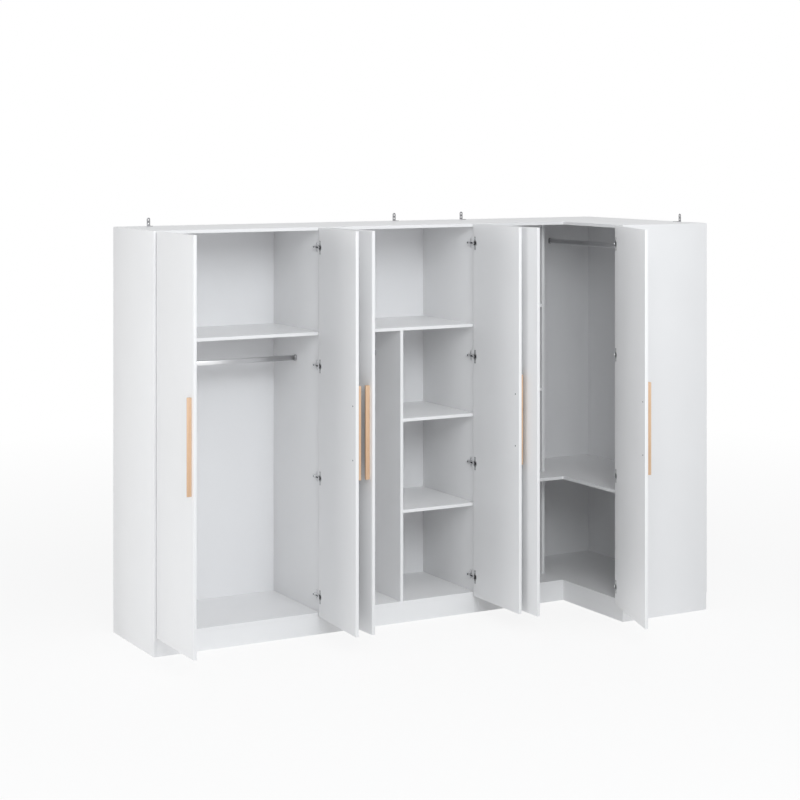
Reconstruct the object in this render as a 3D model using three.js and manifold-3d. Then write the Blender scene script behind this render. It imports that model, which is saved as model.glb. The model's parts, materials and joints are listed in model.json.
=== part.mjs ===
// Corner wardrobe: two straight cabinets and one L-shaped corner cabinet with six hinged doors.
// Millimetres, +Z up. Inside the plan group X runs along the long wall, Y points to that wall,
// and the front left corner of the carcass stands on X = Y = 0. The whole group is then moved
// so that its origin is the middle of its footprint, doors open, on the floor.

import * as THREE from 'three';
import { mergeVertices } from 'three/addons/utils/BufferGeometryUtils.js';
import Module from 'manifold-3d';

const wasm = await Module();
wasm.setup();

// Carcass
const height = 2250;
const depth = 600;
const straightWidth = 1000;
const cornerWidth = 1200;
const board = 18;
const backThickness = 3;
const plinthHeight = 102;
const seam = 0.3;

// Inside
const topShelfDrop = 597;
const cornerShelfZ = 718;
const cornerDividerSetback = 200;
const railOffset = 300;
const railDrop = 153;
const cornerRailDrop = 129;
const narrowShelves = 2;

// Hanging rail: an oval tube in two cups
const railTall = 30;
const railWide = 15;
const railWall = 1.2;
const cupWall = 2;
const cupBase = 3;
const cupReach = 14;

// Doors
const doorBottomZ = 100;
const doorTopReveal = 3;
const doorThickness = 18;
const doorFrontGap = 3.5;
const doorEdgeReveal = 3;
const doorPairGap = 4;
const doorEdgeRound = 2.5;
const doorFaceRound = 1;
const cornerLapGap = 2.5;
const cornerLeafShort = 8;

// Hinge axis, from the outer front corner of the cabinet side
const axisIn = 15.25;
const axisFront = 20.25;

// Hinges: four to a door, the end ones from its ends and the space between the middle two
const hingeRise = 112;
const hingeDrop = 112;
const hingeSpace = 617;
const cornerHingeRise = 102;
const cornerHingeDrop = 107;
const cornerHingeSpace = 686;
const cupCentre = 22.5;
const cupRadius = 17.5;
const cupDepth = 12;
const rimWidth = 2;
const rimThickness = 1.2;
const rimWall = 1.5;
const wingLength = 66;
const wingWidth = 14;
const wingRound = 3;
const armWidth = 16;
const armHeight = 14;
const armBack = 62;
const noseGap = 0.35;
const noseThickness = 3.4;
const noseRootDegrees = 70;
const noseTipDegrees = 15.5;
const plateThickness = 2;
const plateLength = 56;
const plateWidth = 18;
const plateSetback = 37;

// Wide-angle hinges of the lapping door: the arm is forked, and a link turns in the fork
const linkWidth = 9.2;
const linkSideGap = 0.4;
const linkTipDegrees = 14.5;
const linkRootDegrees = 81;
const linkTurnShare = 0.37;

// Handles: an upright wooden strip, deepest along the edge that the hand grips
const handleLength = 500;
const handleWidth = 23;
const handleGripDepth = 26;
const handleBackDepth = 18;
const handleInset = 26;
const handleRound = 2;

// Wall brackets on the top boards
const bracketWidth = 20;
const bracketSteel = 2;
const bracketFoot = 50;
const bracketRise = 47;
const bracketHoleRadius = 4.5;
const bracketLowHoleZ = 14;
const bracketHighHoleZ = 34;
const bracketScrewRadius = 2.5;
const bracketScrewInset = 14;
const bracketEndA = 208;
const bracketEndB = 217;
const bracketEndC = 253;

// How far each door stands open, from closed
const aLeftDegrees = 90;
const aRightDegrees = 86.7;
const bLeftDegrees = 87;
const bRightDegrees = 89.5;
const cLeftDegrees = 89.1;
const cRightDegrees = 160.6;

// Facets
const arcSteps = 4;
const circleSteps = 20;
const noseSteps = 6;

// What follows from the sizes above
const sideDepth = depth - backThickness - seam;
const bottomTopZ = plinthHeight + board;
const topUnderZ = height - board;
const wideShelfZ = height - topShelfDrop;
const railZ = wideShelfZ - railDrop;
const cornerRailZ = topUnderZ - cornerRailDrop;
const hingeHeights = heightsOfHinges(hingeRise, hingeDrop, hingeSpace);
const cornerHingeHeights = heightsOfHinges(cornerHingeRise, cornerHingeDrop, cornerHingeSpace);
const longWidth = 2 * straightWidth;
const cornerInner = longWidth + cornerWidth - depth;
const wholeWidth = longWidth + cornerWidth;
const wingEndY = depth - cornerWidth;
const doorHeight = height - doorTopReveal - doorBottomZ;
const doorWidth = (straightWidth - doorPairGap) / 2 - doorEdgeReveal;
const cornerLeafWidth = cornerWidth - depth - doorEdgeReveal - cornerLeafShort;
const lapDoorWidth = cornerWidth - depth - doorEdgeReveal - doorFrontGap - doorThickness - cornerLapGap;
const doorInner = axisFront - doorFrontGap;
const doorOuter = doorInner - doorThickness;
const hingeEdge = doorEdgeReveal - axisIn;
const cornerReach = Math.hypot(-hingeEdge - doorEdgeRound, doorInner - doorEdgeRound) + doorEdgeRound;
const noseInner = cornerReach + noseGap;
const noseOuter = noseInner + noseThickness;

const white = { color: 0xf2f2f3, roughness: 0.45, metalness: 0 };
const fibreboard = { color: 0xe6e6e8, roughness: 0.6, metalness: 0 };
const oak = { color: 0xd9ac82, roughness: 0.55, metalness: 0 };
const steel = { color: 0x9a9b9d, roughness: 0.3, metalness: 1 };

// A box between two corners, as a geometry.
function box(x0, x1, y0, y1, z0, z1) {
  const shape = new THREE.BoxGeometry(Math.abs(x1 - x0), Math.abs(y1 - y0), Math.abs(z1 - z0));
  return shape.translate((x0 + x1) / 2, (y0 + y1) / 2, (z0 + z1) / 2);
}

// An outline in the XY plane, raised from z0 to z1.
function prism(outline, z0, z1) {
  const raised = new THREE.ExtrudeGeometry(outline, {
    depth: z1 - z0,
    bevelEnabled: false,
    curveSegments: arcSteps,
  });
  return raised.translate(0, 0, z0);
}

// A closed geometry as a solid that can be joined and cut.
function solid(geometry) {
  const bare = geometry.clone();
  bare.deleteAttribute('normal');
  bare.deleteAttribute('uv');
  const merged = mergeVertices(bare);
  return new wasm.Manifold(
    new wasm.Mesh({
      numProp: 3,
      vertProperties: new Float32Array(merged.attributes.position.array),
      triVerts: new Uint32Array(merged.index.array),
    }),
  );
}

function geometryOf(body) {
  const mesh = body.getMesh();
  const geometry = new THREE.BufferGeometry();
  geometry.setAttribute('position', new THREE.BufferAttribute(mesh.vertProperties, 3));
  geometry.setIndex(new THREE.BufferAttribute(mesh.triVerts, 1));
  const faceted = geometry.toNonIndexed();
  faceted.computeVertexNormals();
  return faceted;
}

function piece(name, geometry, finish) {
  const mesh = new THREE.Mesh(geometry, new THREE.MeshStandardMaterial(finish));
  mesh.name = name;
  return mesh;
}

function panel(name, x0, x1, y0, y1, z0, z1, finish = white) {
  return piece(name, box(x0, x1, y0, y1, z0, z1), finish);
}

function placed(object, x, y, z, turn = 0) {
  const group = new THREE.Group();
  group.add(object);
  group.position.set(x, y, z);
  group.rotation.z = turn;
  return group;
}

function heightsOfHinges(rise, drop, space) {
  const first = doorBottomZ + rise;
  const last = height - drop;
  const middle = (first + last) / 2;
  return [first, middle - space / 2, middle + space / 2, last];
}

// Hinges. hand is 1 for a side on the left of its doorway and -1 for one on the right.

// Plan of the cranked arm: straight along the side, then curled round the hinge axis so that
// the rounded edge of the door turns inside it and its tip lies in the cup when the door is shut.
function armOutline(hand) {
  const outline = new THREE.Shape();
  const tip = THREE.MathUtils.degToRad(noseTipDegrees);
  const root = THREE.MathUtils.degToRad(noseRootDegrees);
  const armFace = board + armHeight;
  const bend = Math.acos((armFace - axisIn) / noseOuter);
  const along = (radius, angle) => [
    hand * (axisIn + radius * Math.cos(angle)),
    radius * Math.sin(angle) - axisFront,
  ];
  outline.moveTo(hand * (board - seam), armBack);
  outline.lineTo(hand * armFace, armBack);
  for (let i = 0; i <= noseSteps; i++) {
    outline.lineTo(...along(noseOuter, THREE.MathUtils.lerp(bend, tip, i / noseSteps)));
  }
  for (let i = 0; i <= noseSteps; i++) {
    outline.lineTo(...along(noseInner, THREE.MathUtils.lerp(tip, root, i / noseSteps)));
  }
  outline.lineTo(hand * (board - seam), plateThickness);
  return outline;
}

// The mounting plate, screwed to the inner face of the side, with its upright wings.
function hingePlate(hand, z) {
  const wings = box(
    hand * (board - seam), hand * (board + plateThickness),
    plateSetback - plateWidth / 2, plateSetback + plateWidth / 2,
    z - plateLength / 2, z + plateLength / 2,
  );
  return solid(wings);
}

function hingeArm(hand, z, forked) {
  const arm = solid(prism(armOutline(hand), z - armWidth / 2, z + armWidth / 2));
  if (!forked) return arm;
  const slotRadius = noseOuter + noseGap;
  const slotWidth = linkWidth + 2 * linkSideGap;
  const slot = new THREE.CylinderGeometry(slotRadius, slotRadius, slotWidth, 2 * circleSteps);
  slot.rotateX(Math.PI / 2);
  return arm.subtract(solid(slot.translate(hand * axisIn, -axisFront, z)));
}

// A cabinet side with the four arms and plates that it carries.
function sideWithHinges(name, hand, heights, forked = false) {
  let body = solid(box(0, hand * board, 0, sideDepth, 0, height));
  for (const z of heights) {
    body = body.add(hingePlate(hand, z));
    body = body.add(hingeArm(hand, z, forked));
  }
  return piece(name, geometryOf(body), white);
}

// Plan of the link, drawn round the hinge axis with the door shut and its tip in the cup.
function linkOutline(hand) {
  const outline = new THREE.Shape();
  const tip = THREE.MathUtils.degToRad(linkTipDegrees);
  const root = THREE.MathUtils.degToRad(linkRootDegrees);
  const along = (radius, angle) => [hand * radius * Math.cos(angle), radius * Math.sin(angle)];
  outline.moveTo(...along(noseOuter, root));
  for (let i = 1; i <= noseSteps; i++) {
    outline.lineTo(...along(noseOuter, THREE.MathUtils.lerp(root, tip, i / noseSteps)));
  }
  for (let i = 0; i <= noseSteps; i++) {
    outline.lineTo(...along(noseInner, THREE.MathUtils.lerp(tip, root, i / noseSteps)));
  }
  return outline;
}

// The links of one door, which turn about its axis by a share of its angle.
function hingeLinks(key, hand, heights, degrees) {
  const turning = new THREE.Group();
  for (const [i, z] of heights.entries()) {
    const link = prism(linkOutline(hand), z - linkWidth / 2, z + linkWidth / 2);
    turning.add(piece(`link_${key}_${i + 1}`, link, steel));
  }
  turning.position.set(hand * axisIn, -axisFront, 0);
  turning.rotation.z = -hand * THREE.MathUtils.degToRad(linkTurnShare * degrees);
  return turning;
}

// Doors, drawn shut with the hinge axis on X = Y = 0.

// Plan of a door leaf: small radii on the face, larger ones on the inner edges.
function leafOutline(x0, x1, y0, y1) {
  const outline = new THREE.Shape();
  const face = doorFaceRound;
  const edge = doorEdgeRound;
  outline.moveTo(x0 + face, y0);
  outline.lineTo(x1 - face, y0);
  outline.absarc(x1 - face, y0 + face, face, -Math.PI / 2, 0);
  outline.absarc(x1 - edge, y1 - edge, edge, 0, Math.PI / 2);
  outline.absarc(x0 + edge, y1 - edge, edge, Math.PI / 2, Math.PI);
  outline.absarc(x0 + face, y0 + face, face, Math.PI, Math.PI * 1.5);
  return outline;
}

// A round post that stands on the door's inner face, from y0 to y1.
function post(radius, x, y0, y1, z) {
  const round = new THREE.CylinderGeometry(radius, radius, y1 - y0, circleSteps);
  return solid(round.translate(x, (y0 + y1) / 2, z));
}

function hingeWings(x, z) {
  const outline = new THREE.Shape();
  const w = wingWidth / 2;
  const l = wingLength / 2;
  const r = wingRound;
  outline.absarc(w - r, l - r, r, 0, Math.PI / 2);
  outline.absarc(r - w, l - r, r, Math.PI / 2, Math.PI);
  outline.absarc(r - w, r - l, r, Math.PI, Math.PI * 1.5);
  outline.absarc(w - r, r - l, r, Math.PI * 1.5, Math.PI * 2);
  const flat = prism(outline, -seam, rimThickness);
  flat.rotateX(-Math.PI / 2);
  return solid(flat.translate(x, doorInner, z));
}

function doorLeaf(name, hand, width, heights) {
  const far = hingeEdge + width;
  const ends = [hand * hingeEdge, hand * far].sort((a, b) => a - b);
  const cupX = hand * (hingeEdge + cupCentre);
  const rimTop = doorInner + rimThickness;
  let body = solid(prism(leafOutline(...ends, doorOuter, doorInner), doorBottomZ, doorBottomZ + doorHeight));
  for (const z of heights) {
    body = body.add(hingeWings(cupX, z));
    body = body.add(post(cupRadius - rimWall + rimWidth, cupX, doorInner - seam, rimTop, z));
    body = body.subtract(post(cupRadius - rimWall, cupX, doorInner - cupDepth, rimTop + seam, z));
  }
  return piece(name, geometryOf(body), white);
}

// Plan of the handle, with its back on the door's face. Its grip edge stands near the free edge
// of the door, and its front slopes back from there.
function handleOutline(grip, hand) {
  const outline = new THREE.Shape();
  const drop = handleGripDepth - handleBackDepth;
  const slope = Math.hypot(handleWidth, drop);
  const easeAcross = (handleRound * handleWidth) / slope;
  const easeOut = (handleRound * drop) / slope;
  const at = (across, out) => [grip - hand * across, doorOuter - out];
  outline.moveTo(...at(0, seam));
  outline.lineTo(...at(0, handleGripDepth - handleRound));
  outline.quadraticCurveTo(...at(0, handleGripDepth), ...at(easeAcross, handleGripDepth - easeOut));
  outline.lineTo(...at(handleWidth - easeAcross, handleBackDepth + easeOut));
  outline.quadraticCurveTo(
    ...at(handleWidth, handleBackDepth),
    ...at(handleWidth, handleBackDepth - handleRound),
  );
  outline.lineTo(...at(handleWidth, seam));
  return outline;
}

function handle(name, hand, width) {
  const grip = hand * (hingeEdge + width - handleInset);
  const middle = doorBottomZ + doorHeight / 2;
  const strip = prism(handleOutline(grip, hand), middle - handleLength / 2, middle + handleLength / 2);
  return piece(name, strip, oak);
}

function door(key, hand, width, heights, degrees, hasHandle) {
  const turning = new THREE.Group();
  turning.add(doorLeaf(`door_${key}`, hand, width, heights));
  if (hasHandle) turning.add(handle(`handle_${key}`, hand, width));
  turning.position.set(hand * axisIn, -axisFront, 0);
  turning.rotation.z = -hand * THREE.MathUtils.degToRad(degrees);
  return turning;
}

// Hanging rails

function oval(tall, wide) {
  const outline = new THREE.Shape();
  const r = wide / 2;
  const straight = (tall - wide) / 2;
  outline.absarc(0, straight, r, 0, Math.PI);
  outline.absarc(0, -straight, r, Math.PI, Math.PI * 2);
  return outline;
}

// Lays a prism that was raised along Z down along X, keeping its tall way upright.
function laidAlongX(geometry) {
  return geometry.rotateX(Math.PI / 2).rotateZ(Math.PI / 2);
}

function railTube(name, x0, x1) {
  const section = oval(railTall, railWide);
  section.holes.push(oval(railTall - 2 * railWall, railWide - 2 * railWall));
  return piece(name, laidAlongX(prism(section, x0, x1)), steel);
}

function railCup(name, x, way) {
  const clear = 2 * seam;
  const shell = 2 * cupWall + clear;
  const outer = solid(laidAlongX(prism(oval(railTall + shell, railWide + shell), 0, cupReach)));
  const inner = solid(laidAlongX(prism(oval(railTall + clear, railWide + clear), cupBase, 2 * cupReach)));
  const geometry = geometryOf(outer.subtract(inner));
  if (way < 0) geometry.rotateZ(Math.PI);
  return piece(name, geometry.translate(x, 0, 0), steel);
}

// A rail from x0 to x1 between two upright faces, with a cup on each.
function rail(key, x0, x1) {
  const group = new THREE.Group();
  const inset = seam + cupBase + seam;
  group.add(railTube(`rail_${key}`, x0 + inset, x1 - inset));
  group.add(railCup(`rail_cup_${key}_1`, x0 + seam, 1));
  group.add(railCup(`rail_cup_${key}_2`, x1 - seam, -1));
  return group;
}

// Wall brackets

function bracketUpright() {
  const outline = new THREE.Shape();
  const w = bracketWidth / 2;
  outline.moveTo(-w, 0);
  outline.lineTo(w, 0);
  outline.absarc(0, bracketRise - w, w, 0, Math.PI);
  for (const z of [bracketLowHoleZ, bracketHighHoleZ]) {
    const hole = new THREE.Path();
    hole.absarc(0, z, bracketHoleRadius, 0, Math.PI * 2);
    outline.holes.push(hole);
  }
  return solid(prism(outline, 0, bracketSteel).rotateX(Math.PI / 2));
}

function bracketFootPlate() {
  const outline = new THREE.Shape();
  const w = bracketWidth / 2;
  outline.moveTo(w, 0);
  outline.lineTo(-w, 0);
  outline.absarc(0, w - bracketFoot, w, Math.PI, Math.PI * 2);
  for (const y of [bracketScrewInset, bracketFoot - bracketScrewInset / 2]) {
    const hole = new THREE.Path();
    hole.absarc(0, -y, bracketScrewRadius, 0, Math.PI * 2);
    outline.holes.push(hole);
  }
  return solid(prism(outline, 0, bracketSteel));
}

function bracket(name) {
  return piece(name, geometryOf(bracketUpright().add(bracketFootPlate())), steel);
}

// Cabinets

// Boards that both straight cabinets share, in a group whose X = 0 is the cabinet's left side.
function straightCabinet(key, leftDegrees, rightDegrees) {
  const group = new THREE.Group();
  const left = board + seam;
  const right = straightWidth - board - seam;
  group.add(sideWithHinges(`${key}_side_left`, 1, hingeHeights));
  const rightSide = sideWithHinges(`${key}_side_right`, -1, hingeHeights);
  group.add(placed(rightSide, straightWidth, 0, 0));
  group.add(panel(`${key}_top`, left, right, 0, sideDepth, topUnderZ, height));
  group.add(panel(`${key}_bottom`, left, right, 0, sideDepth, plinthHeight, bottomTopZ));
  group.add(panel(`${key}_plinth`, left, right, 0, board, 0, plinthHeight - seam));
  group.add(panel(
    `${key}_back`, seam, straightWidth - seam, depth - backThickness, depth,
    doorBottomZ, height, fibreboard,
  ));
  group.add(panel(`${key}_shelf`, left, right, 0, sideDepth - seam, wideShelfZ, wideShelfZ + board));
  group.add(door(`${key}_left`, 1, doorWidth, hingeHeights, leftDegrees, true));
  const rightDoor = door(`${key}_right`, -1, doorWidth, hingeHeights, rightDegrees, true);
  group.add(placed(rightDoor, straightWidth, 0, 0));
  return group;
}

function hangingCabinet() {
  const group = straightCabinet('a', aLeftDegrees, aRightDegrees);
  group.add(placed(rail('a', board, straightWidth - board), 0, railOffset, railZ));
  group.add(placed(bracket('bracket_a'), bracketEndA, depth, height + seam));
  return group;
}

// Under its top shelf the second cabinet has a rail on the left and shelves on the right.
function shelvedCabinet() {
  const group = straightCabinet('b', bLeftDegrees, bRightDegrees);
  const divider = (straightWidth - board) / 2;
  const clear = (wideShelfZ - bottomTopZ - narrowShelves * board) / (narrowShelves + 1);
  group.add(panel(
    'b_divider', divider, divider + board, 0, sideDepth - seam, bottomTopZ + seam, wideShelfZ - seam,
  ));
  for (let i = 1; i <= narrowShelves; i++) {
    const z = bottomTopZ + i * clear + (i - 1) * board;
    const x0 = divider + board + seam;
    const x1 = straightWidth - board - seam;
    group.add(panel(`b_narrow_shelf_${i}`, x0, x1, 0, sideDepth - seam, z, z + board));
  }
  group.add(placed(rail('b', board, divider), 0, railOffset, railZ));
  group.add(placed(bracket('bracket_b'), straightWidth - bracketEndB, depth, height + seam));
  return group;
}

// A board that fills the corner cabinet's L-shaped plan.
function cornerBoard(name, z) {
  const outline = new THREE.Shape();
  const left = longWidth + board + seam;
  const right = wholeWidth - backThickness - seam;
  const end = wingEndY + board + seam;
  outline.moveTo(left, 0);
  outline.lineTo(cornerInner, 0);
  outline.lineTo(cornerInner, end);
  outline.lineTo(right, end);
  outline.lineTo(right, sideDepth);
  outline.lineTo(left, sideDepth);
  return piece(name, prism(outline, z, z + board), white);
}

function cornerPlinths() {
  const group = new THREE.Group();
  const left = longWidth + board + seam;
  const top = plinthHeight - seam;
  const end = wingEndY + board + seam;
  group.add(panel('c_plinth_left', left, cornerInner + board, 0, board, 0, top));
  group.add(panel('c_plinth_right', cornerInner, cornerInner + board, end, -seam, 0, top));
  return group;
}

function cornerBacks() {
  const group = new THREE.Group();
  const x = wholeWidth - backThickness;
  const y = depth - backThickness;
  group.add(panel('c_back_long', longWidth + seam, wholeWidth, y, depth, doorBottomZ, height, fibreboard));
  group.add(panel('c_back_short', x, wholeWidth, wingEndY, y - seam, doorBottomZ, height, fibreboard));
  return group;
}

// The upright board behind the left doorway, and the shelves between it and the left side.
function cornerShelving() {
  const group = new THREE.Group();
  const left = longWidth + board + seam;
  const x0 = cornerInner - board;
  const y0 = cornerDividerSetback;
  const y1 = sideDepth - seam;
  const shelfTop = cornerShelfZ + board;
  const clear = (topUnderZ - shelfTop - narrowShelves * board) / (narrowShelves + 1);
  group.add(panel('c_divider_low', x0, cornerInner, y0, y1, bottomTopZ + seam, cornerShelfZ - seam));
  group.add(panel('c_divider_high', x0, cornerInner, y0, y1, shelfTop + seam, topUnderZ - seam));
  for (let i = 1; i <= narrowShelves; i++) {
    const z = shelfTop + i * clear + (i - 1) * board;
    group.add(panel(`c_narrow_shelf_${i}`, left, x0 - seam, y0, y1, z, z + board));
  }
  return group;
}

function cornerCabinet() {
  const group = new THREE.Group();
  const quarter = Math.PI / 2;
  const railX = (cornerInner + wholeWidth) / 2;
  group.add(placed(sideWithHinges('c_side_left', 1, cornerHingeHeights), longWidth, 0, 0));
  const endSide = sideWithHinges('c_side_end', -1, cornerHingeHeights, true);
  group.add(placed(endSide, cornerInner, wingEndY, 0, -quarter));
  group.add(cornerBoard('c_top', topUnderZ));
  group.add(cornerBoard('c_bottom', plinthHeight));
  group.add(cornerBoard('c_shelf', cornerShelfZ));
  group.add(cornerPlinths());
  group.add(cornerBacks());
  group.add(cornerShelving());
  group.add(placed(rail('c', -sideDepth, -wingEndY - board), railX, 0, cornerRailZ, -quarter));
  const leftLeaf = door('c_left', 1, cornerLeafWidth, cornerHingeHeights, cLeftDegrees, false);
  const lappingDoor = door('c_right', -1, lapDoorWidth, cornerHingeHeights, cRightDegrees, true);
  const links = hingeLinks('c_right', -1, cornerHingeHeights, cRightDegrees);
  group.add(placed(leftLeaf, longWidth, 0, 0));
  group.add(placed(lappingDoor, cornerInner, wingEndY, 0, -quarter));
  group.add(placed(links, cornerInner, wingEndY, 0, -quarter));
  group.add(placed(bracket('bracket_c_long'), longWidth + bracketEndC, depth, height + seam));
  group.add(placed(bracket('bracket_c_short'), wholeWidth, wingEndY + bracketEndC, height + seam, -quarter));
  return group;
}

function wardrobe() {
  const plan = new THREE.Group();
  plan.add(hangingCabinet());
  plan.add(placed(shelvedCabinet(), straightWidth, 0, 0));
  plan.add(cornerCabinet());
  const bounds = new THREE.Box3().setFromObject(plan, true);
  const middle = bounds.getCenter(new THREE.Vector3());
  plan.position.set(-middle.x, -middle.y, 0);
  const whole = new THREE.Group();
  whole.add(plan);
  return whole;
}

export default wardrobe();
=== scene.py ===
"""Looks of the corner wardrobe: boards, concealed hinges, oak handles, rails and wall brackets."""

import json
import math

import bmesh
import bpy
from mathutils import Matrix, Vector


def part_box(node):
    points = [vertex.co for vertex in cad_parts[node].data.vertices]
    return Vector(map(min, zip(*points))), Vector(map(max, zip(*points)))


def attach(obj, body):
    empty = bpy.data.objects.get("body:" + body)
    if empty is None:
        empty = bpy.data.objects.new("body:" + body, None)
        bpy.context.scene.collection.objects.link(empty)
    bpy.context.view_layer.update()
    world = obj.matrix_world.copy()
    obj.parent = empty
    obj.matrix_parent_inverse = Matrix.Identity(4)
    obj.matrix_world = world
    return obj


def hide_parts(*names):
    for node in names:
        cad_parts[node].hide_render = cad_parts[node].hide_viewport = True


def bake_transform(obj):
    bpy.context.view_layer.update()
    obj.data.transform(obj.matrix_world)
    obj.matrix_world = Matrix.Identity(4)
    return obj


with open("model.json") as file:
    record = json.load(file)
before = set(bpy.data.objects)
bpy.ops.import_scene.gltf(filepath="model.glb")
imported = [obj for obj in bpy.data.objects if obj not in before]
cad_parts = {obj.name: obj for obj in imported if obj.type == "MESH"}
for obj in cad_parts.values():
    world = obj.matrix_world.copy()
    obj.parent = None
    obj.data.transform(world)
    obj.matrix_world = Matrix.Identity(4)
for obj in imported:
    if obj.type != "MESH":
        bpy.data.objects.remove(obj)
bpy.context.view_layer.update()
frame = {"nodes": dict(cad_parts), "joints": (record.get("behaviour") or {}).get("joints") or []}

MM = 0.001

# Carcass and doors, the same sizes as the solids
HEIGHT = 2250 * MM
BOARD = 18 * MM
SIDE_DEPTH = 596.7 * MM
DOOR_BOTTOM = 100 * MM
DOOR_TOP = 2247 * MM
DOOR_GAP = 3.5 * MM
DOOR_REVEAL = 3 * MM
FACE_ROUND = 1 * MM
EDGE_ROUND = 2.5 * MM
EDGE_EASE = 0.5 * MM
BACK_SEAM = 0.3 * MM
AXIS_IN = 15.25 * MM
AXIS_FRONT = 20.25 * MM

# Directions on which heads and cups stand, in hinge coordinates
INWARDS = (1, 0, 0)
BACKWARDS = (0, 1, 0)
UPWARDS = (0, 0, 1)

# Hinge heights
HINGE_HEIGHTS = [z * MM for z in (212, 866.5, 1483.5, 2138)]
CORNER_HINGE_HEIGHTS = [z * MM for z in (202, 829.5, 1515.5, 2143)]

# Hinge cups, with their rims, wings and dampers
CUP_CENTRE = 22.5 * MM
CUP_RADIUS = 16 * MM
CUP_DEPTH = 12 * MM
CUP_MOUTH = 12.5 * MM
CUP_WALL = 0.8 * MM
CUP_FLOOR = 0.3 * MM
CUP_CLEARANCE = 0.1 * MM
RIM_RADIUS = 18 * MM
RIM_THICKNESS = 1.2 * MM
RIM_SIDE = 0.7 * MM
RIM_SLOPE = 0.4 * MM
LIP_EASE = 0.2 * MM
LIP_SLOPE = 0.3 * MM
WING_ROOT = 15.272 * MM
WING_REACH = 38 * MM
WING_HALF_WIDTH = 7 * MM
WING_ROUND = 3 * MM
WING_EASE = 0.3 * MM
CUP_SCREW_RISE = 27 * MM
DAMPER_SPAN = (-11 * MM, -1 * MM)
DAMPER_FLOOR = 0.8 * MM
DAMPER_SUNK = 3 * MM
DAMPER_ROUND = 1 * MM
DAMPER_HALF_HEIGHT = 7 * MM
DAMPER_EASE = 0.6 * MM

# Hinge arms. The nose is the part of an arm that curls round the hinge axis
NOSE_INNER = 20.12 * MM
NOSE_OUTER = 23.52 * MM
NOSE_TIP = math.radians(15.5)
NOSE_ROOT = math.radians(70)
ARM_FACE = 32 * MM
ARM_BACK = 62 * MM
ARM_HALF = 8 * MM
ARM_EASE = 0.8 * MM
CHEEK_START = 2.2 * MM
THROAT_BACK = 28 * MM
THROAT_FACE = 27 * MM
THROAT_END = math.radians(83)
THROAT_CLEARANCE = 0.35 * MM
FORK_HALF = 5 * MM
FORK_EASE = 0.3 * MM
FIXING_SETBACK = 54 * MM

# Mounting plates
PLATE_SETBACK = 37 * MM
PLATE_HALF_WIDTH = 9 * MM
PLATE_HALF_LENGTH = 28 * MM
PLATE_THICKNESS = 2 * MM
PLATE_EASE = 0.4 * MM
PLATE_SCREW_RISE = 17.92 * MM

# Hinge links
LINK_HALF = 4.6 * MM
LINK_TIP = math.radians(14.5)
LINK_ROOT = math.radians(81)
LINK_EASE = 0.4 * MM
LINK_TURN_SHARE = 0.37

# Handles and wall brackets
HANDLE_MIDDLE = 37.5 * MM
HANDLE_SCREW_RISE = 144 * MM
HANDLE_EASE = 0.8 * MM
BRACKETS = ("bracket_a", "bracket_b", "bracket_c_long", "bracket_c_short")
BRACKET_STEEL_THICKNESS = 2 * MM
BRACKET_SCREW_INSETS = (14 * MM, 43 * MM)

# Radius and rise of each kind of screw head
PLATE_SCREW = (4.2 * MM, 1.6 * MM)
ADJUSTING_SCREW = (3 * MM, 1 * MM)
FIXING_SCREW = (4.6 * MM, 1 * MM)
CUP_SCREW = (3.6 * MM, 1.1 * MM)
HANDLE_SCREW = (4.3 * MM, 1.8 * MM)
BRACKET_SCREW = (4 * MM, 1.6 * MM)

# Points of a head's profile, as shares of its radius and rise
SCREW_PROFILE_SHARES = [(0, 0.45), (0.16, 0.5), (0.42, 1), (0.7, 0.86), (1, 0.3), (1, 0), (0, 0)]

# Easing and shading. A smooth value is the angle in degrees beyond which an edge stays sharp
METAL_EASE = 0.3 * MM
WELD_DISTANCE = 0.01 * MM
EASED_ANGLE = 40
BOARD_SMOOTH = 35
HANDLE_SMOOTH = 40
BRACKET_SMOOTH = 40
RAIL_SMOOTH = 50

# Room. Each lamp has a name, a place, a target, a width and height, a power and a colour
FLOOR_HALF = 40
FLOOR_SHARE = 0.86
FLOOR_FADE = (2.6, 8.0)
AMBIENT = 0.44
AMBIENT_COLOUR = (0.97, 0.98, 1.0)
LAMPS = [
    ("front", (-2.5, -7.5, 5.0), (0, 0, 1.0), (5.0, 3.0), 262, (0.945, 0.98, 1.0)),
    ("left", (-9.0, -0.5, 1.8), (-0.5, -0.3, 1.1), (4.0, 3.0), 160, (1.0, 1.0, 0.99)),
    ("top", (0, -4.5, 6.5), (0, 0, 0.8), (5.0, 3.0), 88, (1.0, 1.0, 1.0)),
]

# Camera: its place is measured from the cabinet's left front corner, on the floor
SENSOR_WIDTH = 36
LENS = 84.866
FRAME_SHIFT = -0.31469
CAMERA_PLACE = (-3.7223, -9.3134, 2.6857)
CAMERA_PITCH = math.radians(90)
CAMERA_HEADING = math.radians(-29.2267)
CAMERA_SIGHT = 100

# Each door: 1 where it hangs on the left of its doorway and -1 on the right, its opening angle
# and the turn of its doorway in plan in degrees, its width in mm, and whether it has a handle
DOORS = {
    "a_left": (1, 90, 0, 495, True),
    "a_right": (-1, 86.7, 0, 495, True),
    "b_left": (1, 87, 0, 495, True),
    "b_right": (-1, 89.5, 0, 495, True),
    "c_left": (1, 89.1, 0, 589, False),
    "c_right": (-1, 160.6, -90, 573, True),
}
SIDES = {
    "a_left": "a_side_left",
    "a_right": "a_side_right",
    "b_left": "b_side_left",
    "b_right": "b_side_right",
    "c_left": "c_side_left",
    "c_right": "c_side_end",
}
JOINTS = {j["name"]: j for j in frame["joints"]}


# Materials


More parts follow.
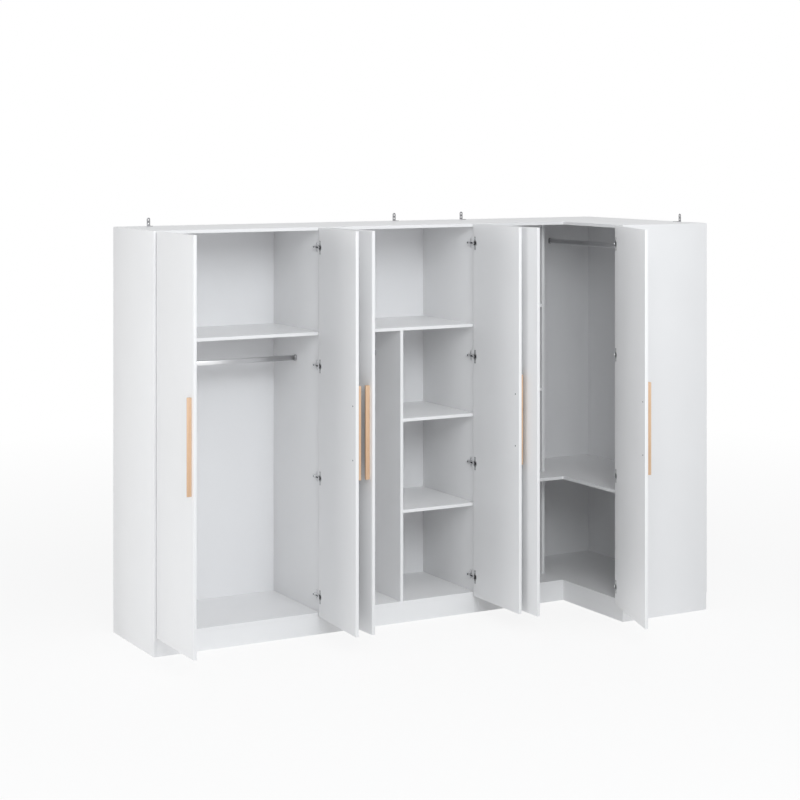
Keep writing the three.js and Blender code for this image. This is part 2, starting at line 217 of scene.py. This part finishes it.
class Shader:
    """A material under construction: short ways to add nodes and to join them."""

    def __init__(self, name, colour, roughness, metallic=0.0):
        self.material = bpy.data.materials.new(name)
        self.material.use_nodes = True
        self.material.diffuse_color = (*colour, 1)
        self.tree = self.material.node_tree
        self.principled = self.tree.nodes["Principled BSDF"]
        self.principled.inputs["Base Color"].default_value = (*colour, 1)
        self.principled.inputs["Roughness"].default_value = roughness
        self.principled.inputs["Metallic"].default_value = metallic

    def node(self, kind, **values):
        made = self.tree.nodes.new(kind)
        for key, value in values.items():
            if key in made.inputs:
                made.inputs[key].default_value = value
            else:
                setattr(made, key, value)
        return made

    def link(self, source, target):
        self.tree.links.new(source, target)

    def place(self, scale):
        """Object coordinates in metres, stretched by a scale for each axis."""
        coordinates = self.node("ShaderNodeTexCoord")
        mapping = self.node("ShaderNodeMapping", Scale=scale)
        self.link(coordinates.outputs["Object"], mapping.inputs["Vector"])
        return mapping.outputs["Vector"]

    def noise(self, place, scale, detail, roughness=0.5):
        """A noise value from 0 to 1."""
        made = self.node("ShaderNodeTexNoise", Scale=scale, Detail=detail, Roughness=roughness)
        self.link(place, made.inputs["Vector"])
        return made.outputs["Fac"]

    def ramp(self, factor, stops):
        """A colour that runs through (position, colour) stops."""
        made = self.node("ShaderNodeValToRGB")
        elements = made.color_ramp.elements
        while len(elements) < len(stops):
            elements.new(0.5)
        for element, (position, colour) in zip(elements, stops):
            element.position = position
            element.color = (*colour, 1)
        self.link(factor, made.inputs["Fac"])
        return made.outputs["Color"]

    def grey_range(self, factor, low, high):
        """A value from low to high as the factor goes from 0 to 1."""
        made = self.node("ShaderNodeMapRange")
        made.inputs["To Min"].default_value = low
        made.inputs["To Max"].default_value = high
        self.link(factor, made.inputs["Value"])
        return made.outputs["Result"]

    def bump(self, height, distance, strength):
        made = self.node("ShaderNodeBump", Distance=distance, Strength=strength)
        self.link(height, made.inputs["Height"])
        self.link(made.outputs["Normal"], self.principled.inputs["Normal"])

    def to(self, output, socket):
        """Joins an output to a socket of the surface shader."""
        self.link(output, self.principled.inputs[socket])


def laminate(name, tone, roughness):
    """White melamine: a pressed texture finer than a millimetre, and a faint drift of tone."""
    low = tuple(c * 0.985 for c in tone)
    made = Shader(name, tone, roughness)
    place = made.place((1, 1, 1))
    drift = made.noise(place, 3.5, detail=2)
    made.to(made.ramp(drift, [(0.3, low), (0.7, tone)]), "Base Color")
    pebble = made.noise(place, 1400, detail=3, roughness=0.6)
    made.to(made.grey_range(pebble, roughness - 0.05, roughness + 0.07), "Roughness")
    made.bump(pebble, 0.06 * MM, 0.5)
    return made.material


def fibreboard():
    """The thin painted back: matt, with short fibres showing through the paint."""
    made = Shader("painted_back", (0.89, 0.89, 0.90), 0.62)
    fibres = made.noise(made.place((1, 1, 0.35)), 700, detail=5, roughness=0.65)
    made.to(made.ramp(fibres, [(0.3, (0.87, 0.87, 0.88)), (0.7, (0.90, 0.90, 0.91))]), "Base Color")
    made.to(made.grey_range(fibres, 0.55, 0.7), "Roughness")
    made.bump(fibres, 0.05 * MM, 0.4)
    return made.material


def oak():
    """Lacquered oak with upright grain: broad bands, fine streaks and short dark pores."""
    made = Shader("lacquered_oak", (0.74, 0.50, 0.315), 0.45)
    bands = made.noise(made.place((60, 60, 1.6)), 1.0, detail=3, roughness=0.55)
    streaks = made.noise(made.place((420, 420, 6)), 1.0, detail=4, roughness=0.6)
    pores = made.noise(made.place((1300, 1300, 28)), 1.0, detail=2, roughness=0.5)
    mix = made.node("ShaderNodeMath", operation="MULTIPLY_ADD")
    made.link(streaks, mix.inputs[0])
    mix.inputs[1].default_value = 0.45
    made.link(made.grey_range(bands, 0.0, 0.55), mix.inputs[2])
    grain = made.ramp(mix.outputs["Value"], [
        (0.30, (0.63, 0.405, 0.245)),
        (0.50, (0.73, 0.495, 0.325)),
        (0.68, (0.79, 0.57, 0.40)),
    ])
    dark = made.ramp(pores, [(0.60, (1, 1, 1)), (0.70, (0.80, 0.74, 0.68))])
    shade = made.node("ShaderNodeMix", data_type="RGBA", blend_type="MULTIPLY")
    shade.inputs["Factor"].default_value = 0.8
    made.link(grain, shade.inputs["A"])
    made.link(dark, shade.inputs["B"])
    made.to(shade.outputs["Result"], "Base Color")
    made.to(made.grey_range(streaks, 0.38, 0.52), "Roughness")
    made.bump(pores, 0.08 * MM, 0.5)
    return made.material


def metal(name, colour, roughness, stretch):
    """Plated metal with a fine grain, scaled along each axis."""
    made = Shader(name, colour, roughness, 1.0)
    grain = made.noise(made.place(stretch), 1.0, detail=3, roughness=0.6)
    low = tuple(c * 0.88 for c in colour)
    made.to(made.ramp(grain, [(0.3, low), (0.7, colour)]), "Base Color")
    made.to(made.grey_range(grain, roughness - 0.06, roughness + 0.1), "Roughness")
    made.bump(grain, 0.02 * MM, 0.5)
    return made.material


def nylon():
    """Dark moulded plastic of the dampers in the hinge cups, and painted shade as the block between
    the forks of each arm.
    """
    made = Shader("dark_nylon_and_painted_shade", (0.05, 0.05, 0.055), 0.5)
    grain = made.noise(made.place((1, 1, 1)), 2500, detail=2)
    made.to(made.grey_range(grain, 0.42, 0.6), "Roughness")
    made.bump(grain, 0.03 * MM, 0.4)
    return made.material


WHITE = laminate("white_laminate", (0.90, 0.90, 0.905), 0.42)
DOOR_WHITE = laminate("door_laminate", (0.90, 0.90, 0.905), 0.38)
BACK = fibreboard()
OAK = oak()
CHROME = metal("satin_chrome", (0.90, 0.90, 0.91), 0.30, (900, 900, 900))
ZINC = metal("zinc_plate", (0.72, 0.72, 0.73), 0.36, (700, 700, 160))
NICKEL = metal("nickel_plate", (0.86, 0.86, 0.87), 0.34, (500, 500, 500))
# A darker copy of the nickel plate: painted shade for the deep hinge cups and the rail cups.
NICKEL_PAINTED_SHADE = metal("nickel_with_painted_shade", (0.50, 0.50, 0.51), 0.30, (500, 500, 500))
BRACKET_STEEL = metal("bracket_steel", (0.30, 0.30, 0.31), 0.36, (700, 700, 160))
# Near-black metal for the fixing screws: painted shade at the rear end of each arm.
DARK_METAL_PAINTED_SHADE = metal("dark_metal_painted_shade", (0.10, 0.10, 0.105), 0.42, (900, 900, 900))
# Near black: the cup dampers' own plastic, and painted shade between the arm forks.
NYLON_AND_PAINTED_SHADE = nylon()


# Mesh helpers. An outline is a closed list of plan points, counter-clockwise.


def arc(centre, radius, start, end, steps):
    """Points along an arc, both its ends included."""
    points = []
    for i in range(steps + 1):
        angle = start + (end - start) * i / steps
        points.append((centre[0] + radius * math.cos(angle), centre[1] + radius * math.sin(angle)))
    return points


def rounded(x0, x1, y0, y1, front, back, steps=4):
    """A rectangle with one radius at its y0 corners and another at its y1 corners."""
    half = math.pi / 2
    return (
        arc((x1 - front, y0 + front), front, -half, 0, steps)
        + arc((x1 - back, y1 - back), back, 0, half, steps)
        + arc((x0 + back, y1 - back), back, half, 2 * half, steps)
        + arc((x0 + front, y0 + front), front, 2 * half, 3 * half, steps)
    )


def prism(mesh, outline, z0, z1, ease=0.0):
    """Adds an upright prism to a bmesh, with its top and bottom rims eased."""
    low = [mesh.verts.new((x, y, z0)) for x, y in outline]
    bottom = mesh.faces.new(list(reversed(low)))
    high = [mesh.verts.new((x, y, z1)) for x, y in outline]
    top = mesh.faces.new(high)
    count = len(outline)
    for i in range(count):
        j = (i + 1) % count
        mesh.faces.new((low[i], low[j], high[j], high[i]))
    if ease:
        rims = list(bottom.edges) + list(top.edges)
        bmesh.ops.bevel(mesh, geom=rims, offset=ease, segments=2, profile=0.6, affect="EDGES")
    return mesh


def turned(mesh, profile, matrix, steps=40):
    """Adds a revolved profile of (radius, height) points, closed on its axis, to a bmesh."""
    rings = []
    for radius, height in profile:
        if radius == 0:
            rings.append([mesh.verts.new(matrix @ Vector((0, 0, height)))])
            continue
        ring = []
        for i in range(steps):
            angle = 2 * math.pi * i / steps
            point = Vector((radius * math.cos(angle), radius * math.sin(angle), height))
            ring.append(mesh.verts.new(matrix @ point))
        rings.append(ring)
    for lower, upper in zip(rings, rings[1:]):
        for i in range(steps):
            j = (i + 1) % steps
            if len(lower) == 1:
                mesh.faces.new((lower[0], upper[j], upper[i]))
            elif len(upper) == 1:
                mesh.faces.new((lower[i], lower[j], upper[0]))
            else:
                mesh.faces.new((lower[i], lower[j], upper[j], upper[i]))


def piece(name, mesh, material, matrix=None):
    """Turns a bmesh into an object with its normals put right."""
    if matrix is not None:
        bmesh.ops.transform(mesh, matrix=matrix, verts=mesh.verts)
    bmesh.ops.recalc_face_normals(mesh, faces=mesh.faces)
    data = bpy.data.meshes.new(name)
    mesh.to_mesh(data)
    mesh.free()
    data.materials.append(material)
    made = bpy.data.objects.new(name, data)
    bpy.context.scene.collection.objects.link(made)
    smooth_by_angle(made, BOARD_SMOOTH)
    return made


def smooth_by_angle(made, degrees):
    """Smooth faces, with an edge kept sharp where its faces turn by more than an angle."""
    data = made.data
    data.shade_smooth()
    data.set_sharp_from_angle(angle=math.radians(degrees))


def ease_cad(name, material, width=EDGE_EASE):
    """Gives a carried-over solid its material and a small radius along its edges."""
    made = frame["nodes"][name]
    made.data.materials.clear()
    made.data.materials.append(material)
    weld = made.modifiers.new("weld", "WELD")
    weld.merge_threshold = WELD_DISTANCE
    if width:
        bevel = made.modifiers.new("ease", "BEVEL")
        bevel.width = width
        bevel.segments = 2
        bevel.limit_method = "ANGLE"
        bevel.angle_limit = math.radians(EASED_ANGLE)
        bevel.harden_normals = True
    return made


def standing(direction, seat):
    """A matrix that stands a revolved profile on its seat, with its axis along a direction."""
    turn = Vector((0, 0, 1)).rotation_difference(Vector(direction)).to_matrix().to_4x4()
    return Matrix.Translation(seat) @ turn


def hinge_heights(key):
    """Heights of the four hinges of a door."""
    return CORNER_HINGE_HEIGHTS if key.startswith("c_") else HINGE_HEIGHTS


# Places. Hinge coordinates run from the outer front corner of a cabinet side: into the
# doorway, to the back, and up. A side on the right of its doorway is a mirror image.


def doorway(key):
    """Matrix from hinge coordinates to the room for the side that a door hangs on."""
    hand, _, turn, _, _ = DOORS[key]
    axis = Vector(JOINTS["open_" + key]["pos_m"]).to_2d().to_3d()
    plan = Matrix.Rotation(math.radians(turn), 4, "Z")
    mirror = Matrix.Diagonal((hand, 1, 1, 1))
    return Matrix.Translation(axis) @ plan @ mirror @ Matrix.Translation((-AXIS_IN, AXIS_FRONT, 0))


def leaf(key, share=1.0):
    """Matrix from a shut door's hinge coordinates to the door as it stands open."""
    _, degrees, _, _, _ = DOORS[key]
    to_axis = Matrix.Translation((-AXIS_IN, AXIS_FRONT, 0))
    swing = Matrix.Rotation(-math.radians(degrees * share), 4, "Z")
    return doorway(key) @ to_axis.inverted() @ swing @ to_axis


def round_axis(radius, angle):
    """A point in hinge coordinates on a circle round the hinge axis."""
    return (AXIS_IN + radius * math.cos(angle), radius * math.sin(angle) - AXIS_FRONT)


def sweep(radius, start, end, steps=12):
    """Points along an arc round the hinge axis."""
    return [round_axis(radius, start + (end - start) * i / steps) for i in range(steps + 1)]


# Boards


def side_board(key):
    """A cabinet side, without the arms that its solid carries."""
    outline = rounded(0, BOARD, 0, SIDE_DEPTH, EDGE_EASE, EDGE_EASE, steps=2)
    mesh = prism(bmesh.new(), outline, 0, HEIGHT, EDGE_EASE)
    made = piece("board_" + SIDES[key], mesh, WHITE, doorway(key))
    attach(made, "cabinet")
    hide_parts(SIDES[key])


def door_board(key):
    """A door with the bores for its hinge cups."""
    width = DOORS[key][3] * MM
    outline = rounded(
        DOOR_REVEAL, DOOR_REVEAL + width, -DOOR_GAP - BOARD, -DOOR_GAP, FACE_ROUND, EDGE_ROUND,
    )
    mesh = prism(bmesh.new(), outline, DOOR_BOTTOM, DOOR_TOP, FACE_ROUND)
    made = piece("leaf_board_" + key, mesh, DOOR_WHITE, leaf(key))
    bores = bmesh.new()
    for z in hinge_heights(key):
        base = Vector((DOOR_REVEAL + CUP_CENTRE, -DOOR_GAP - CUP_DEPTH, z))
        profile = [(0, 0), (CUP_RADIUS, 0), (CUP_RADIUS, 2 * CUP_DEPTH), (0, 2 * CUP_DEPTH)]
        turned(bores, profile, standing(BACKWARDS, base))
    cutter = piece("bores_" + key, bores, DOOR_WHITE, leaf(key))
    cut = made.modifiers.new("bores", "BOOLEAN")
    cut.object = cutter
    cut.solver = "EXACT"
    bpy.context.view_layer.update()
    evaluated = made.evaluated_get(bpy.context.evaluated_depsgraph_get())
    solid = bpy.data.meshes.new_from_object(evaluated)
    made.modifiers.clear()
    made.data = solid
    bpy.data.objects.remove(cutter)
    smooth_by_angle(made, BOARD_SMOOTH)
    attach(made, "leaf_" + key)
    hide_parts("door_" + key)


# Concealed hinges


def screw_head(mesh, direction, seat, size):
    """A domed head with a dimple for its recess."""
    radius, rise = size
    profile = [(across * radius, up * rise) for across, up in SCREW_PROFILE_SHARES]
    turned(mesh, profile, standing(direction, Vector(seat)), steps=20)


def hinge_arms(key):
    """Mounting plates and forked, cranked arms on a side, with a near-black block between the forks
    as painted shade.
    """
    mesh = bmesh.new()
    dark = bmesh.new()
    face_bend = math.acos((ARM_FACE - AXIS_IN) / NOSE_OUTER)
    throat_radius = NOSE_OUTER + THROAT_CLEARANCE
    throat_bend = math.acos((THROAT_FACE - AXIS_IN) / throat_radius)
    body = [(ARM_FACE, ARM_BACK), (BOARD, ARM_BACK), (BOARD, THROAT_BACK), (ARM_FACE, THROAT_BACK)]
    throat = (
        [(THROAT_FACE, THROAT_BACK), (BOARD, THROAT_BACK)]
        + sweep(throat_radius, THROAT_END, throat_bend)
    )
    cheek = (
        [(ARM_FACE, THROAT_BACK), (BOARD, THROAT_BACK), (BOARD, CHEEK_START)]
        + sweep(NOSE_INNER, NOSE_ROOT, NOSE_TIP)
        + sweep(NOSE_OUTER, NOSE_TIP, face_bend)
    )
    plate = rounded(
        BOARD, BOARD + PLATE_THICKNESS,
        PLATE_SETBACK - PLATE_HALF_WIDTH, PLATE_SETBACK + PLATE_HALF_WIDTH,
        PLATE_EASE, PLATE_EASE, steps=2,
    )
    for z in hinge_heights(key):
        prism(mesh, body, z - ARM_HALF, z + ARM_HALF, ARM_EASE)
        # A near-black block in the throat between the forks: painted shade.
        prism(dark, throat, z - FORK_HALF, z + FORK_HALF)
        prism(mesh, cheek, z + FORK_HALF, z + ARM_HALF, FORK_EASE)
        prism(mesh, cheek, z - ARM_HALF, z - FORK_HALF, FORK_EASE)
        prism(mesh, plate, z - PLATE_HALF_LENGTH, z + PLATE_HALF_LENGTH, PLATE_EASE)
    made = piece("hinge_arms_" + key, mesh, NICKEL, doorway(key))
    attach(made, "cabinet")
    # The block between the forks takes the dark plastic as painted shade.
    inner = piece("arm_throat_painted_shade_" + key, dark, NYLON_AND_PAINTED_SHADE, doorway(key))
    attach(inner, "cabinet")


def hinge_screws(key):
    """Plate screws and the adjusting screw on each arm, and the fixing screw, near black as painted
    shade at the arm's rear end.
    """
    mesh = bmesh.new()
    fixing = bmesh.new()
    for z in hinge_heights(key):
        for way in (-1, 1):
            seat = (BOARD + PLATE_THICKNESS, PLATE_SETBACK, z + way * PLATE_SCREW_RISE)
            screw_head(mesh, INWARDS, seat, PLATE_SCREW)
        screw_head(mesh, INWARDS, (ARM_FACE, PLATE_SETBACK, z), ADJUSTING_SCREW)
        # The fixing screw is near black: painted shade at the arm's rear end.
        screw_head(fixing, INWARDS, (ARM_FACE, FIXING_SETBACK, z), FIXING_SCREW)
    kinds = (("hinge_screws_", mesh, ZINC), ("fixing_screws_", fixing, DARK_METAL_PAINTED_SHADE))
    for name, heads, material in kinds:
        made = piece(name + key, heads, material, doorway(key))
        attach(made, "cabinet")


def hinge_cups(key):
    """Pots let into the door, with their screwed wings."""
    mesh = bmesh.new()
    screws = bmesh.new()
    inner = CUP_RADIUS - CUP_WALL
    outer = CUP_RADIUS - CUP_CLEARANCE
    floor = -CUP_DEPTH + CUP_FLOOR
    bottom = -CUP_DEPTH + CUP_CLEARANCE
    profile = [
        (0, floor), (inner - CUP_WALL, floor), (inner, floor + CUP_WALL), (inner, 0),
        (CUP_MOUTH, LIP_EASE), (CUP_MOUTH, RIM_THICKNESS - LIP_EASE),
        (CUP_MOUTH + LIP_SLOPE, RIM_THICKNESS), (RIM_RADIUS - RIM_SLOPE, RIM_THICKNESS),
        (RIM_RADIUS, RIM_SIDE), (RIM_RADIUS, 0), (outer, 0), (outer, bottom), (0, bottom),
    ]
    for z in hinge_heights(key):
        centre = Vector((DOOR_REVEAL + CUP_CENTRE, -DOOR_GAP, z))
        turned(mesh, profile, standing(BACKWARDS, centre), steps=48)
        for way in (-1, 1):
            wing(mesh, centre, way)
            seat = centre + Vector((0, RIM_THICKNESS, way * CUP_SCREW_RISE))
            screw_head(screws, BACKWARDS, seat, CUP_SCREW)
    # The cups take the darker nickel, whose low tone is painted shade.
    made = piece("hinge_cups_" + key, mesh, NICKEL_PAINTED_SHADE, leaf(key))
    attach(made, "leaf_" + key)
    heads = piece("cup_screws_" + key, screws, ZINC, leaf(key))
    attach(heads, "leaf_" + key)


def wing(mesh, centre, way):
    """One ear of a cup's flange: a flat tab with round corners, above or below the pot."""
    across = WING_HALF_WIDTH - WING_ROUND
    along = WING_REACH - WING_ROUND
    quarter = math.pi / 2
    tab = (
        [(-WING_HALF_WIDTH, WING_ROOT), (WING_HALF_WIDTH, WING_ROOT)]
        + arc((across, along), WING_ROUND, 0, quarter, 5)
        + arc((-across, along), WING_ROUND, quarter, 2 * quarter, 5)
    )
    made = bmesh.new()
    prism(made, tab, 0, RIM_THICKNESS, WING_EASE)
    stand = Matrix.Translation(centre) @ Matrix.Diagonal((1, 1, way, 1))
    swap_y_and_z = Matrix(((1, 0, 0, 0), (0, 0, 1, 0), (0, 1, 0, 0), (0, 0, 0, 1)))
    bmesh.ops.transform(made, matrix=stand @ swap_y_and_z, verts=made.verts)
    data = bpy.data.meshes.new("tab")
    made.to_mesh(data)
    made.free()
    mesh.from_mesh(data)
    bpy.data.meshes.remove(data)


def cup_dampers(key):
    """The dark block inside each pot."""
    mesh = bmesh.new()
    near, far = (DOOR_REVEAL + CUP_CENTRE + place for place in DAMPER_SPAN)
    block = rounded(
        near, far, -DOOR_GAP - CUP_DEPTH + DAMPER_FLOOR, -DOOR_GAP - DAMPER_SUNK,
        DAMPER_ROUND, DAMPER_ROUND,
    )
    for z in hinge_heights(key):
        prism(mesh, block, z - DAMPER_HALF_HEIGHT, z + DAMPER_HALF_HEIGHT, DAMPER_EASE)
    made = piece("cup_dampers_" + key, mesh, NYLON_AND_PAINTED_SHADE, leaf(key))
    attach(made, "leaf_" + key)


def hinge_links(key):
    """Curved links between arm and pot, which turn by a share of the door's angle."""
    mesh = bmesh.new()
    outline = sweep(NOSE_OUTER, LINK_TIP, LINK_ROOT) + sweep(NOSE_INNER, LINK_ROOT, LINK_TIP)
    for z in hinge_heights(key):
        prism(mesh, outline, z - LINK_HALF, z + LINK_HALF, LINK_EASE)
    made = piece("hinge_links_" + key, mesh, NICKEL, leaf(key, LINK_TURN_SHARE))
    if key == "c_right":
        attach(made, "links_c_right")
        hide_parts(*(f"link_c_right_{i + 1}" for i in range(len(CORNER_HINGE_HEIGHTS))))
        return
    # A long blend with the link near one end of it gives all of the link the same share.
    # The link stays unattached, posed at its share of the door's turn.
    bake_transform(made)


# Handles and their screws


def handle_screws(key):
    """Two screws through the door into its handle."""
    _, _, _, width, has_handle = DOORS[key]
    if not has_handle:
        return
    mesh = bmesh.new()
    across = DOOR_REVEAL + width * MM - HANDLE_MIDDLE
    middle = (DOOR_BOTTOM + DOOR_TOP) / 2
    for way in (-1, 1):
        seat = (across, -DOOR_GAP, middle + way * HANDLE_SCREW_RISE)
        screw_head(mesh, BACKWARDS, seat, HANDLE_SCREW)
    made = piece("handle_screws_" + key, mesh, BRACKET_STEEL, leaf(key))
    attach(made, "leaf_" + key)


# Wall brackets


def bracket_screws():
    """Two screws through the foot of each bracket into the top board."""
    mesh = bmesh.new()
    for name in BRACKETS:
        low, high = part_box(name)
        middle = (low + high) / 2
        along_x = high.x - low.x > high.y - low.y
        top = low.z + BRACKET_STEEL_THICKNESS
        for inset in BRACKET_SCREW_INSETS:
            seat = (high.x - inset, middle.y, top) if along_x else (middle.x, high.y - inset, top)
            screw_head(mesh, UPWARDS, seat, BRACKET_SCREW)
    made = piece("bracket_screws", mesh, ZINC)
    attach(made, "cabinet")


# Carried-over solids


def finish_solids():
    """Materials and eased edges for the solids that stay as they are."""
    for name in frame["nodes"]:
        if name in SIDES.values() or name.startswith(("door_", "link_")):
            continue
        if name.startswith("handle_"):
            smooth_by_angle(ease_cad(name, OAK, HANDLE_EASE), HANDLE_SMOOTH)
        elif name.startswith("rail_cup"):
            # The rail cups take the darker nickel, whose low tone is painted shade.
            smooth_by_angle(ease_cad(name, NICKEL_PAINTED_SHADE, METAL_EASE), RAIL_SMOOTH)
        elif name.startswith("rail_"):
            smooth_by_angle(ease_cad(name, CHROME, 0), RAIL_SMOOTH)
        elif name.startswith("bracket_"):
            smooth_by_angle(ease_cad(name, BRACKET_STEEL, METAL_EASE), BRACKET_SMOOTH)
        elif "_back" in name:
            ease_cad(name, BACK, 0)
        else:
            ease_cad(name, WHITE)


# Room


def background_rays(tree):
    """1 for the rays that see the background: the camera's, glossy and transmitted ones."""
    path = tree.nodes.new("ShaderNodeLightPath")
    total = path.outputs["Is Camera Ray"]
    for name in ("Is Glossy Ray", "Is Transmission Ray"):
        either = tree.nodes.new("ShaderNodeMath")
        either.operation = "MAXIMUM"
        tree.links.new(total, either.inputs[0])
        tree.links.new(path.outputs[name], either.inputs[1])
        total = either.outputs[0]
    return total


def room():
    """A pale floor, a white room to the camera and to glossy rays, and soft lamps."""
    mesh = bmesh.new()
    bmesh.ops.create_grid(mesh, x_segments=1, y_segments=1, size=FLOOR_HALF)
    floor = piece("floor", mesh, floor_paint())
    world = bpy.data.worlds.new("room")
    bpy.context.scene.world = world
    world.use_nodes = True
    tree = world.node_tree
    soft = tree.nodes["Background"]
    soft.inputs["Color"].default_value = (*AMBIENT_COLOUR, 1)
    soft.inputs["Strength"].default_value = AMBIENT
    white = tree.nodes.new("ShaderNodeBackground")
    white.inputs["Color"].default_value = (1, 1, 1, 1)
    mix = tree.nodes.new("ShaderNodeMixShader")
    tree.links.new(background_rays(tree), mix.inputs["Fac"])
    tree.links.new(soft.outputs[0], mix.inputs[1])
    tree.links.new(white.outputs[0], mix.inputs[2])
    tree.links.new(mix.outputs[0], tree.nodes["World Output"].inputs["Surface"])
    for name, place, target, size, power, colour in LAMPS:
        light = bpy.data.lights.new(name, "AREA")
        light.shape = "RECTANGLE"
        light.size, light.size_y = size
        light.energy = power
        light.color = colour
        lamp = bpy.data.objects.new(name, light)
        bpy.context.scene.collection.objects.link(lamp)
        lamp.location = place
        lamp.rotation_euler = (Vector(target) - Vector(place)).to_track_quat("-Z", "Y").to_euler()


def floor_paint():
    """White to the camera far off, and nearer the wardrobe partly lit, so that shadows show."""
    made = Shader("floor_paint", (0.9, 0.9, 0.9), 0.9)
    tree = made.tree
    reach = made.node("ShaderNodeVectorMath", operation="LENGTH")
    made.link(made.place((1, 1, 1)), reach.inputs[0])
    share = made.grey_range(reach.outputs["Value"], FLOOR_SHARE, 1.0)
    share.node.inputs["From Min"].default_value = FLOOR_FADE[0]
    share.node.inputs["From Max"].default_value = FLOOR_FADE[1]
    seen = made.node("ShaderNodeMath", operation="MULTIPLY")
    made.link(background_rays(tree), seen.inputs[0])
    made.link(share, seen.inputs[1])
    white = tree.nodes.new("ShaderNodeEmission")
    white.inputs["Strength"].default_value = 1.0
    mix = tree.nodes.new("ShaderNodeMixShader")
    tree.links.new(seen.outputs[0], mix.inputs["Fac"])
    tree.links.new(made.principled.outputs[0], mix.inputs[1])
    tree.links.new(white.outputs[0], mix.inputs[2])
    tree.links.new(mix.outputs[0], tree.nodes["Material Output"].inputs["Surface"])
    return made.material


def camera():
    """Level camera in front and to the left, with the frame shifted down to the wardrobe."""
    corner = Vector((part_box("a_back")[0].x - BACK_SEAM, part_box("a_plinth")[0].y, 0))
    data = bpy.data.cameras.new("camera")
    data.sensor_width = SENSOR_WIDTH
    data.lens = LENS
    data.shift_y = FRAME_SHIFT
    data.clip_end = CAMERA_SIGHT
    made = bpy.data.objects.new("camera", data)
    bpy.context.scene.collection.objects.link(made)
    made.location = corner + Vector(CAMERA_PLACE)
    made.rotation_euler = (CAMERA_PITCH, 0, CAMERA_HEADING)
    bpy.context.scene.camera = made


for door in DOORS:
    side_board(door)
    door_board(door)
    hinge_arms(door)
    hinge_screws(door)
    hinge_cups(door)
    cup_dampers(door)
    hinge_links(door)
    handle_screws(door)
bracket_screws()
finish_solids()
room()
camera()
bpy.context.scene.view_settings.view_transform = "Standard"
